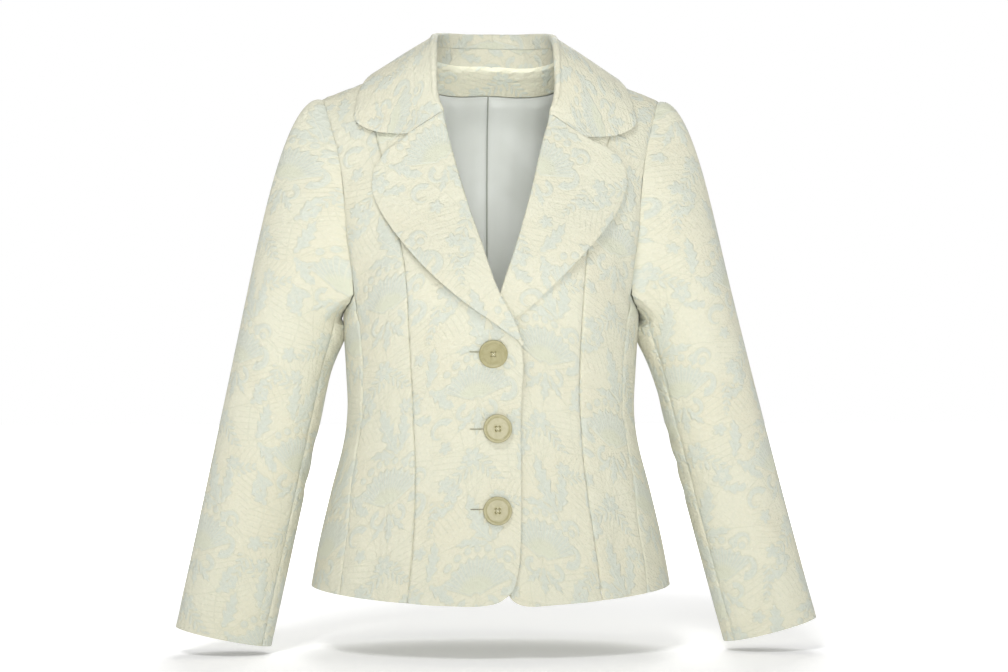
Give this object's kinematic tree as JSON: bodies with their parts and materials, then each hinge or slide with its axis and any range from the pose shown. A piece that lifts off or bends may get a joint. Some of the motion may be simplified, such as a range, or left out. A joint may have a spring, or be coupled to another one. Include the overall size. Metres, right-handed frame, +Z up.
{
  "type": "blazer",
  "caption": "Fitted single-breasted jacket with rounded notched collar, wide rolled lapels, princess seams and long two-piece sleeves, filled out as if worn.",
  "frame": {"origin": "middle of the body, between the shoulders and level with the neck ends of the shoulder seams, where a hanger or a wearer's shoulders hold the garment", "axes": "+Z up, -Y is the front of the garment, +X is the wearer's left"},
  "size_m": [0.7031, 0.2523, 0.6814],
  "materials": {
    "shell": "cream jacquard cloth with a soft satin sheen and a tone-on-tone shell and leaf damask",
    "facing": "the same cream cloth on the inside of the neck",
    "lining": "smooth pale grey lining with a low sheen",
    "buttons": "khaki beige, satin, slightly dished"
  },
  "bodies": {
    "root": {"front_right": "shell", "front_left": "shell", "side_front_right": "shell", "side_front_left": "shell", "side_back_right": "shell", "side_back_left": "shell", "back_right": "shell", "back_left": "shell", "top_sleeve_right": "shell", "top_sleeve_left": "shell", "under_sleeve_right": "shell", "under_sleeve_left": "shell", "lapel_right": "shell", "lapel_left": "shell", "collar": "shell", "collar_stand": "facing", "back_neck_facing": "facing", "lining_back_right": "lining", "lining_back_left": "lining", "button_1": "buttons", "button_2": "buttons", "button_3": "buttons"}
  },
  "joints": []
}
